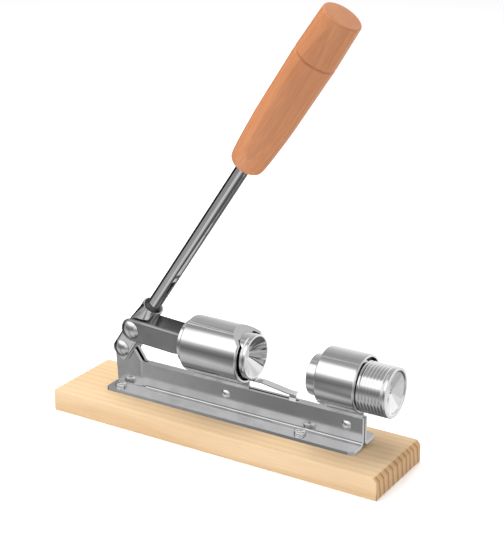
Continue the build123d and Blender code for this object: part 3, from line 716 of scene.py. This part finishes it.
class NUTCRACKER_OT_ram(PieceOperator, bpy.types.Operator):
    """Cupped plunger with a groove behind its lip, hollow at the back"""

    bl_idname = "nutcracker.ram"
    bl_label = "Ram"

    def execute(self, context):
        origin = Vector((0, *middle("ram").yz))
        rear, front, radius = span("ram", origin, ALONG)
        hollow = radius - 1.1 * MM
        cup = radius - 1.4 * MM
        piece = turn(
            "ram_plunger", origin, ALONG,
            [
                *rounded(
                    (2.0 * MM, hollow, 0), (rear, hollow, 0.3 * MM), (rear, radius, 0.4 * MM),
                    (front - 3.8 * MM, radius, 0.2 * MM),
                    (front - 3.0 * MM, radius - 0.8 * MM, 0.2 * MM),
                    (front - 2.2 * MM, radius, 0.2 * MM), (front, radius, 0.6 * MM),
                    (front, cup, 0.4 * MM), (front - 4.0 * MM, cup - 5.1 * MM, 0),
                ),
                (front - 8.0 * MM, 4.0 * MM),
            ],
        )
        smooth(piece)
        fit(piece, "ram", chrome())
        return {"FINISHED"}


class NUTCRACKER_OT_linkage(PieceOperator, bpy.types.Operator):
    """Channel link and the yoke that holds the lever rod"""

    bl_idname = "nutcracker.linkage"
    bl_label = "Link and yoke"

    def execute(self, context):
        for part, material in (("link", link_steel()), ("lever_yoke", chrome())):
            piece = from_frame(part, f"{part}_sheet")
            round_edges(piece, context.scene.nutcracker_metal.edge_radius)
            smooth(piece)
            fit(piece, part, material)
        return {"FINISHED"}


class NUTCRACKER_OT_lever(PieceOperator, bpy.types.Operator):
    """Lever rod and its lock ring"""

    bl_idname = "nutcracker.lever"
    bl_label = "Lever rod"

    def execute(self, context):
        start, end, radius = span("lever_rod", LOWER_PIVOT, ROD_AXIS)
        edge = 0.5 * MM
        piece = turn(
            "lever_bar", LOWER_PIVOT, ROD_AXIS,
            [
                (start, radius - edge), (start + edge, radius),
                (end - edge, radius), (end, radius - edge),
            ],
        )
        smooth(piece, 50)
        fit(piece, "lever_rod", chrome())
        bore = radius
        start, end, radius = span("rod_lock_ring", LOWER_PIVOT, ROD_AXIS)
        ring = turn(
            "lock_ring", LOWER_PIVOT, ROD_AXIS,
            [
                (start, bore), (start, radius), (start + 0.7 * MM, radius - 0.1 * MM),
                (end - 0.9 * MM, radius - 0.9 * MM), (end, radius - 1.5 * MM),
                (end, bore), (start, bore),
            ],
            tube=True,
        )
        round_edges(ring, 0.2 * MM, angle=25)
        smooth(ring, 40)
        fit(ring, "rod_lock_ring", dark_steel_and_bore_shade())
        return {"FINISHED"}


class NUTCRACKER_OT_grip(PieceOperator, bpy.types.Operator):
    """Turned wooden grip with a ring cut round it"""

    bl_idname = "nutcracker.grip"
    bl_label = "Grip"

    def execute(self, context):
        groove = context.scene.nutcracker_grip.groove_depth
        start, end, belly = span("grip", LOWER_PIVOT, ROD_AXIS)
        bore = span("lever_rod", LOWER_PIVOT, ROD_AXIS)[2]
        ring = start + 91.6 * MM
        top = end - 0.2 * MM
        lower = through([
            (start, 8.5 * MM), (start + 0.8 * MM, 10.2 * MM), (start + 3.5 * MM, 11.8 * MM),
            (start + 12.0 * MM, 12.75 * MM), (start + 26.0 * MM, 13.6 * MM),
            (start + 41.0 * MM, 14.2 * MM), (start + 66.0 * MM, 14.45 * MM),
            (ring - GROOVE_HALF, belly),
        ])
        piece = turn(
            "wooden_grip", LOWER_PIVOT, ROD_AXIS,
            [
                (start + 60 * MM, bore), (start, bore), *lower,
                *rounded(
                    (ring - GROOVE_HALF, belly, 0), (ring, belly - groove, 0.15 * MM),
                    (ring + GROOVE_HALF, belly, 0.15 * MM), (ring + 12 * MM, 14.3 * MM, 0),
                    (top, 13.6 * MM, 1.3 * MM), (top, 9.0 * MM, 0),
                )[1:],
            ],
        )
        smooth(piece, 40)
        piece.visible_glossy = False
        fit(piece, "grip", lacquered_beech())
        return {"FINISHED"}


class NUTCRACKER_OT_anvil(PieceOperator, bpy.types.Operator):
    """Anvil screw with a real thread, a coned face and a swivelling cup on its inner end"""

    bl_idname = "nutcracker.anvil"
    bl_label = "Anvil"

    def execute(self, context):
        metal = context.scene.nutcracker_metal
        origin = Vector((0, *middle("anvil_screw").yz))
        inner, face, radius = span("anvil_screw", origin, ALONG)
        root = radius - metal.thread_depth
        pitch = metal.thread_pitch
        collar = face - 2.4 * MM
        bpy.ops.mesh.primitive_plane_add(size=MM, location=origin + ALONG * (inner - pitch))
        thread = bpy.context.object
        with editing(thread):
            bpy.ops.mesh.merge(type="CENTER")
            bpy.ops.transform.translate(value=(0, 0, root))
            for along, out in ((0.16, 0), (0.34, 1), (0.16, 0), (0.34, -1)):
                bpy.ops.mesh.extrude_vertices_move(
                    TRANSFORM_OT_translate={"value": (along * pitch, 0, out * metal.thread_depth)}
                )
        apply_modifier(
            thread, "SCREW", axis="X", angle=math.tau, screw_offset=pitch, steps=ROUND,
            render_steps=ROUND, iterations=math.ceil((collar - inner) / pitch) + 2,
        )
        settle(thread, "anvil_thread")
        with editing(thread):
            bpy.ops.mesh.remove_doubles(threshold=0.01 * MM)
            bpy.ops.mesh.bisect(
                plane_co=(inner + 0.3 * MM, 0, 0), plane_no=(-1, 0, 0), use_fill=True,
                clear_outer=True,
            )
            bpy.ops.mesh.select_all(action="SELECT")
            bpy.ops.mesh.bisect(
                plane_co=(collar, 0, 0), plane_no=(1, 0, 0), use_fill=True, clear_outer=True
            )
            bpy.ops.mesh.select_all(action="SELECT")
            bpy.ops.mesh.normals_make_consistent(inside=False)
        seat = root - 0.6 * MM
        cut(thread, turn("seat", origin, ALONG, [(face - 7.0 * MM, seat), (face, seat)]))
        head = turn(
            "anvil_screw_head", origin, ALONG,
            rounded(
                (face - 6.9 * MM, seat - 0.05 * MM, 0), (collar - 0.5 * MM, seat - 0.05 * MM, 0),
                (collar - 0.5 * MM, root + 0.1 * MM, 0),
                (collar + 0.6 * MM, radius - 0.2 * MM, 0.2 * MM), (face, radius, 0.5 * MM),
                (face, radius - 2.2 * MM, 0.3 * MM), (face - 0.8 * MM, radius - 3.2 * MM, 0),
                (face - 6.0 * MM, radius - 3.2 * MM, 0),
            ),
        )
        cone = turn(
            "anvil_screw_cone", origin, ALONG,
            [
                (face - 5.8 * MM, radius - 3.0 * MM), (face - 0.9 * MM, radius - 3.0 * MM),
                (face - 3.8 * MM, 1.6 * MM), (face - 5.2 * MM, 1.3 * MM),
            ],
            facets=14,
        )
        with editing(cone):
            bpy.ops.mesh.mark_sharp()
        piece = join(thread, head, cone)
        piece.name = piece.data.name = "anvil_screw_turned"
        smooth(piece, 28)
        fit(piece, "anvil_screw", chrome())

        start, end, radius = span("anvil_cup", origin, ALONG)
        back = start + 14.9 * MM
        cup = turn(
            "anvil_cup_turned", origin, ALONG,
            [
                *rounded(
                    (end, 5.0 * MM, 0), (back, 5.0 * MM, 0), (back, radius, 0.4 * MM),
                    (start, radius, 0.8 * MM), (start, radius - 1.6 * MM, 0.3 * MM),
                    (start + 3.0 * MM, radius - 5.8 * MM, 0),
                ),
                (start + 6.0 * MM, 4.2 * MM),
            ],
        )
        smooth(cup, 28)
        fit(cup, "anvil_cup", chrome())
        return {"FINISHED"}


class NUTCRACKER_OT_fasteners(PieceOperator, bpy.types.Operator):
    """Domed rivets, cross-headed board screws and the sprung nut rest"""

    bl_idname = "nutcracker.fasteners"
    bl_label = "Fasteners"

    def execute(self, context):
        for part, shank, height in (
            ("lower_pivot_rivet", 3.0 * MM, 2.3 * MM), ("upper_pivot_rivet", 3.0 * MM, 2.3 * MM),
            ("rear_web_rivet", 2.0 * MM, 1.6 * MM), ("front_web_rivet", 2.0 * MM, 1.6 * MM),
        ):
            origin = middle(part)
            start, end, head = span(part, origin, ACROSS)
            rivet = turn(
                f"{part}_domed", origin, ACROSS,
                [
                    *dome(start + height, head, -height, inward=True),
                    (start + height + 0.05 * MM, shank), (end - height - 0.05 * MM, shank),
                    *dome(end - height, head, height),
                ],
                facets=FINE_ROUND,
            )
            smooth(rivet, 40)
            fit(rivet, part, polished_steel())

        first = "rear_near_base_screw"
        low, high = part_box(first)
        origin = Vector((*middle(first).xy, high.z - SCREW_HEAD))
        radius = (high.x - low.x) / 2
        screw = turn(
            "base_screw_head", origin, UPWARD,
            rounded(
                (low.z - origin.z, 2.1 * MM, 0), (0, 2.1 * MM, 0), (0, radius, 0.2 * MM),
                (SCREW_HEAD, radius, 1.5 * MM), (SCREW_HEAD, 1.5 * MM, 0),
            ),
            facets=FINE_ROUND,
        )
        for turned in (45, -45):
            bpy.ops.mesh.primitive_cube_add(
                size=1, location=origin + UPWARD * SCREW_HEAD,
                rotation=(0, 0, math.radians(turned)),
            )
            slot = bpy.context.object
            slot.scale = (4.6 * MM, 0.95 * MM, 2.8 * MM)
            cut(screw, settle(slot, "cross_slot"))
        smooth(screw, 30)
        for part in ("rear_far", "front_near", "front_far"):
            copy = screw.copy()
            copy.data = screw.data.copy()
            copy.name = copy.data.name = f"{part}_base_screw_head"
            context.scene.collection.objects.link(copy)
            only(copy)
            bpy.ops.transform.translate(value=middle(f"{part}_base_screw") - middle(first))
            settle(copy, f"{part}_base_screw_head")
            fit(copy, f"{part}_base_screw", polished_steel())
        settle(screw, "rear_near_base_screw_head")
        fit(screw, first, polished_steel())

        piece = from_frame("nut_rest", "nut_rest_strip")
        round_edges(piece, 0.12 * MM)
        smooth(piece)
        fit(piece, "nut_rest", chrome())
        return {"FINISHED"}


class NUTCRACKER_OT_inner_parts(PieceOperator, bpy.types.Operator):
    """Keels, ram pin and spacers, which stay as the frame has them"""

    bl_idname = "nutcracker.inner_parts"
    bl_label = "Inner parts"

    def execute(self, context):
        for part in ("ram_keel", "anvil_keel"):
            dress(part, zinc_steel())
        dress("ram_pin", polished_steel())
        for part in ("ear_spacer", "yoke_spacer"):
            dress(part, dark_steel_and_bore_shade())
        return {"FINISHED"}


def studio_world():
    """White surroundings for matt surfaces, and soft panels with dark gaps for bright metal."""
    world = bpy.data.worlds.new("studio")
    bpy.context.scene.world = world
    world.use_nodes = True
    tree = world.node_tree
    tree.nodes.remove(tree.nodes["Background"])
    sky = node(tree, "ShaderNodeTexCoord").outputs["Generated"]
    parts = node(tree, "ShaderNodeSeparateXYZ", {0: sky})
    height = math_node(tree, "ADD", math_node(
        tree, "DIVIDE", math_node(tree, "ARCSINE", parts.outputs[2]), math.pi), 0.5)
    forward = math_node(tree, "MULTIPLY", parts.outputs[1], -1.0)
    heading = math_node(tree, "ADD", math_node(
        tree, "DIVIDE", math_node(tree, "ARCTAN2", parts.outputs[0], forward), math.tau), 0.5)

    def panel(*stops):
        """Brightness against the angle above the horizon, in degrees."""
        return ramp(tree, height, [(angle / 180 + 0.5, value) for angle, value in stops])

    def sector(*stops):
        """Weight against the heading, in degrees from the front towards the anvil."""
        return ramp(tree, heading, [(angle / 360 + 0.5, value) for angle, value in stops])

    back = panel(
        (-90, 0.10), (-50, 0.12), (-38, 0.30), (-28, 0.75), (-12, 1.05), (2, 0.92), (14, 0.78),
        (26, 0.66), (36, 0.55), (46, 0.45), (60, 0.36), (90, 0.40),
    )
    left = panel(
        (-90, 0.10), (-60, 0.20), (-50, 0.14), (-12, 0.03), (5, 0.02), (14, 0.12), (25, 0.40),
        (45, 0.45), (57, 0.34), (70, 0.36), (90, 0.40),
    )
    front = panel(
        (-90, 0.10), (-64, 0.12), (-50, 0.46), (-35, 0.58), (-23, 0.54), (-13, 0.32), (-3, 0.18),
        (8, 0.26), (17, 0.60), (24, 1.25), (54, 1.25), (61, 0.45), (72, 0.36), (90, 0.40),
    )
    low_front = panel(
        (-90, 0.10), (-50, 0.16), (-23, 0.22), (-13, 0.20), (-3, 0.14), (8, 0.26), (17, 0.60),
        (24, 1.25), (54, 1.25), (61, 0.45), (72, 0.36), (90, 0.40),
    )
    right = panel(
        (-90, 0.08), (-60, 0.08), (-50, 0.13), (-38, 0.40), (-30, 0.55), (-12, 0.35), (0, 0.40),
        (10, 0.85), (50, 1.0), (62, 0.45), (90, 0.40),
    )
    seen = mix(tree, sector((-152, 0), (-138, 1), (-78, 1), (-58, 0)), back, left)
    seen = mix(tree, sector((-80, 0), (-56, 1), (30, 1), (55, 0)), seen, front)
    seen = mix(tree, sector((-37, 0), (-31, 1), (-28, 1), (-22, 0)), seen, low_front)
    seen = mix(tree, sector((2, 0), (14, 1), (115, 1), (140, 0)), seen, right)
    mirrored = node(tree, "ShaderNodeBackground", {"Color": seen, "Strength": 1.0})
    white = node(tree, "ShaderNodeBackground", {"Color": (1, 1, 1, 1), "Strength": 0.52})
    plain = node(tree, "ShaderNodeBackground", {"Color": (1, 1, 1, 1), "Strength": 1.05})
    path = node(tree, "ShaderNodeLightPath")
    lit = node(tree, "ShaderNodeMixShader", {
        0: path.outputs["Is Glossy Ray"], 1: white.outputs[0], 2: mirrored.outputs[0]})
    shown = node(tree, "ShaderNodeMixShader", {
        0: path.outputs["Is Camera Ray"], 1: lit.outputs[0], 2: plain.outputs[0]})
    tree.links.new(shown.outputs[0], tree.nodes["World Output"].inputs["Surface"])


class NUTCRACKER_OT_stage(PieceOperator, bpy.types.Operator):
    """Pale floor, soft lights and the camera"""

    bl_idname = "nutcracker.stage"
    bl_label = "Stage"

    def execute(self, context):
        studio = context.scene.nutcracker_studio
        studio_world()
        bpy.ops.mesh.primitive_circle_add(
            vertices=ROUND, radius=4.0, fill_type="NGON", location=(0, 0, 0)
        )
        floor = bpy.context.object
        floor.name = "floor"
        floor.visible_glossy = False
        material = bpy.data.materials.new("floor_paper")
        material.use_nodes = True
        shader = material.node_tree.nodes["Principled BSDF"]
        shader.inputs["Base Color"].default_value = (0.93, 0.93, 0.93, 1)
        shader.inputs["Roughness"].default_value = 0.9
        shader.inputs["Specular IOR Level"].default_value = 0.0
        shader.inputs["Emission Color"].default_value = (1, 1, 1, 1)
        shader.inputs["Emission Strength"].default_value = 0.32
        floor.data.materials.append(material)
        for name, place, size, watts in (
            ("key_light", (-0.8, -0.8, 1.2), 0.8, 9.0),
            ("top_light", (-0.3, 0.2, 1.6), 1.0, 18.0),
        ):
            lamp = bpy.data.lights.new(name, "AREA")
            lamp.energy = watts
            lamp.size = size
            light = bpy.data.objects.new(name, lamp)
            light.visible_glossy = False
            context.scene.collection.objects.link(light)
            light.location = place
            aim = LIGHT_AIM - Vector(place)
            light.rotation_euler = aim.to_track_quat("-Z", "Y").to_euler()
        lens = bpy.data.cameras.new("camera")
        lens.lens = studio.lens
        lens.sensor_width = 36.0
        camera = bpy.data.objects.new("camera", lens)
        context.scene.collection.objects.link(camera)
        back = Vector((
            math.sin(studio.azimuth) * math.cos(studio.elevation),
            -math.cos(studio.azimuth) * math.cos(studio.elevation),
            math.sin(studio.elevation),
        ))
        camera.location = CAMERA_AIM + back * studio.distance
        camera.rotation_euler = (-back).to_track_quat("-Z", "Y").to_euler()
        context.scene.camera = camera
        context.scene.view_settings.view_transform = "Standard"
        return {"FINISHED"}


OPERATORS = (
    NUTCRACKER_OT_stage,
    NUTCRACKER_OT_board,
    NUTCRACKER_OT_rails,
    NUTCRACKER_OT_housings,
    NUTCRACKER_OT_ram,
    NUTCRACKER_OT_linkage,
    NUTCRACKER_OT_lever,
    NUTCRACKER_OT_grip,
    NUTCRACKER_OT_anvil,
    NUTCRACKER_OT_fasteners,
    NUTCRACKER_OT_inner_parts,
)
SETTINGS = {
    "nutcracker_board": BoardSettings,
    "nutcracker_grip": GripSettings,
    "nutcracker_metal": MetalSettings,
    "nutcracker_studio": StudioSettings,
}


class NUTCRACKER_PT_sidebar(bpy.types.Panel):
    """Lists the pieces and their settings"""

    bl_idname = "NUTCRACKER_PT_sidebar"
    bl_label = "Bench Nutcracker"
    bl_space_type = "VIEW_3D"
    bl_region_type = "UI"
    bl_category = "Nutcracker"

    def draw(self, context):
        for operator in OPERATORS:
            self.layout.operator(operator.bl_idname)
        for name, group in SETTINGS.items():
            box = self.layout.box()
            for setting in group.__annotations__:
                box.prop(getattr(context.scene, name), setting)


def register():
    for group in (*SETTINGS.values(), *OPERATORS, NUTCRACKER_PT_sidebar):
        bpy.utils.register_class(group)
    for name, group in SETTINGS.items():
        setattr(bpy.types.Scene, name, bpy.props.PointerProperty(type=group))


def unregister():
    for name in SETTINGS:
        delattr(bpy.types.Scene, name)
    for group in (NUTCRACKER_PT_sidebar, *reversed(OPERATORS), *SETTINGS.values()):
        bpy.utils.unregister_class(group)


def main():
    register()
    for operator in OPERATORS:
        getattr(bpy.ops.nutcracker, operator.bl_idname.split(".")[1])()


if __name__ == "__main__":
    main()
